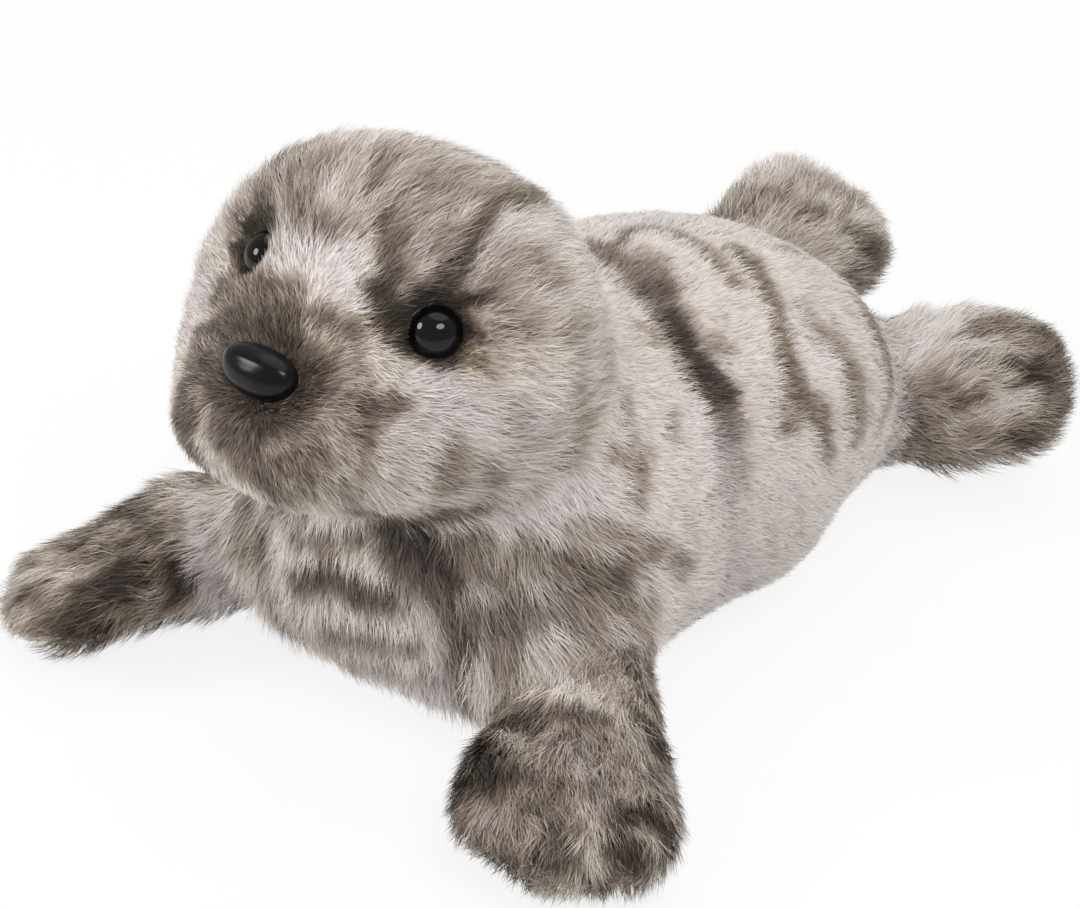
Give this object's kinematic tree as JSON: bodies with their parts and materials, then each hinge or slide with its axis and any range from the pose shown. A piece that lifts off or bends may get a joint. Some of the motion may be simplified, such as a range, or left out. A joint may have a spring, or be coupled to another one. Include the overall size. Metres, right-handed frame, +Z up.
{
  "type": "plush seal",
  "caption": "Stuffed plush seal lying on its belly with raised head, splayed flippers, domed black eyes and nose, and mottled grey pile.",
  "frame": {"origin": "centre of the toy's footprint box, on the ground under its belly", "axes": "+Z up, nose towards -Y, hind flippers towards +Y, the seal's left side towards +X"},
  "size_m": [0.2364, 0.308, 0.1698],
  "materials": {
    "body_plush": "short dense pile, pale grey with darker bands",
    "head_plush": "longer pile, pale and brown-grey",
    "flipper_plush": "long shaggy pile, dark brown-grey",
    "black_plastic": "polished black",
    "washer_plastic": "plain moulded, hidden inside the head"
  },
  "bodies": {
    "root": {"body": "body_plush", "head": "head_plush", "left_front_flipper": "flipper_plush", "right_front_flipper": "flipper_plush", "left_hind_flipper": "flipper_plush", "right_hind_flipper": "flipper_plush", "left_eye": "black_plastic", "right_eye": "black_plastic", "nose": "black_plastic", "left_eye_washer": "washer_plastic", "right_eye_washer": "washer_plastic", "nose_washer": "washer_plastic"}
  },
  "joints": []
}
